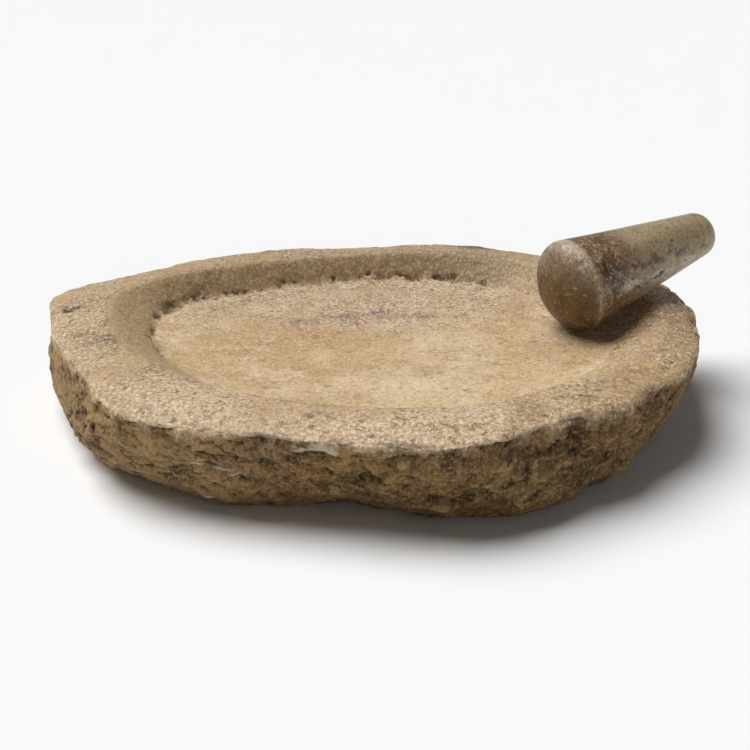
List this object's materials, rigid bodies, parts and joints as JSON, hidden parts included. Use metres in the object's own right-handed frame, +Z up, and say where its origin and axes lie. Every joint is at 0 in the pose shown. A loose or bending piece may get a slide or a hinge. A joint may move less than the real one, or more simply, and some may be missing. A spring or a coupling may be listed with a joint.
{
  "type": "mortar and pestle",
  "caption": "Shallow rough-hewn stone mortar with a flat rim and an oval basin, and a loose conical stone pestle lying in it with its handle across the rim.",
  "frame": {"origin": "on the base plane, below the middle of the block's rim", "axes": "+Z up; +X along the block's longer way, towards the end where the pestle's handle crosses the rim; +Y towards the back"},
  "size_m": [0.5063, 0.4118, 0.1243],
  "materials": {
    "mortar_stone": "honey-coloured limestone, honed rim and basin, rough-hewn sides",
    "pestle_stone": "olive-brown marble, worn smooth by hands, mottled with russet and pale bloom"
  },
  "bodies": {
    "mortar": {"mortar": "mortar_stone"},
    "pestle": {"pestle": "pestle_stone"}
  },
  "joints": [
    {"name": "pestle_lift", "type": "slide", "parent": "mortar", "child": "pestle", "axis": [0, 0, 1], "range_m": [0, 0.12]}
  ]
}
